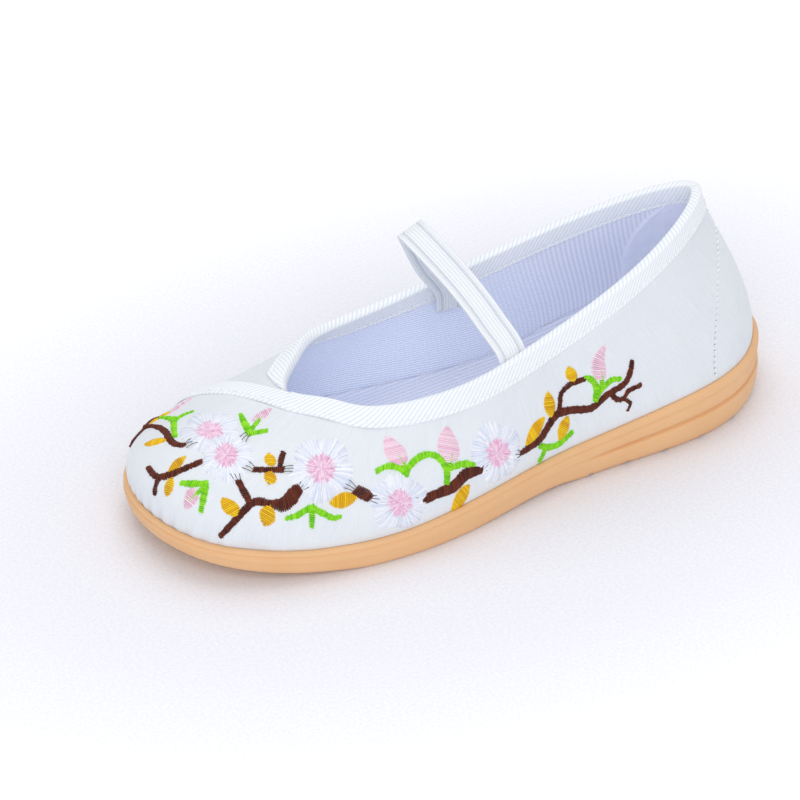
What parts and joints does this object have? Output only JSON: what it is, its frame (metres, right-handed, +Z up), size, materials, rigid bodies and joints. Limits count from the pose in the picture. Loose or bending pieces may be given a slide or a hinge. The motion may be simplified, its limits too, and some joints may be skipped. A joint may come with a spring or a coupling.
{
  "type": "cloth shoe",
  "caption": "Left cloth shoe with a cross-over satin upper, bound collar and vamp edge, elastic instep strap and a moulded wedge sole with heel lugs.",
  "frame": {"origin": "middle of the outsole's box, on the floor", "axes": "+X to the lateral (outer) side of the left foot, +Y from toe to heel, +Z up"},
  "size_m": [0.0926, 0.2412, 0.0844],
  "materials": {
    "rubber": "smooth moulded tan rubber, soft sheen",
    "insole": "pale lavender cloth on board",
    "satin": "white satin with silk-thread embroidery",
    "tape": "white diagonal twill tape",
    "elastic": "white ribbed elastic band"
  },
  "bodies": {
    "root": {"outsole": "rubber", "insole": "insole", "upper": "satin", "binding_lateral": "tape", "binding_medial": "tape", "strap": "elastic"}
  },
  "joints": []
}
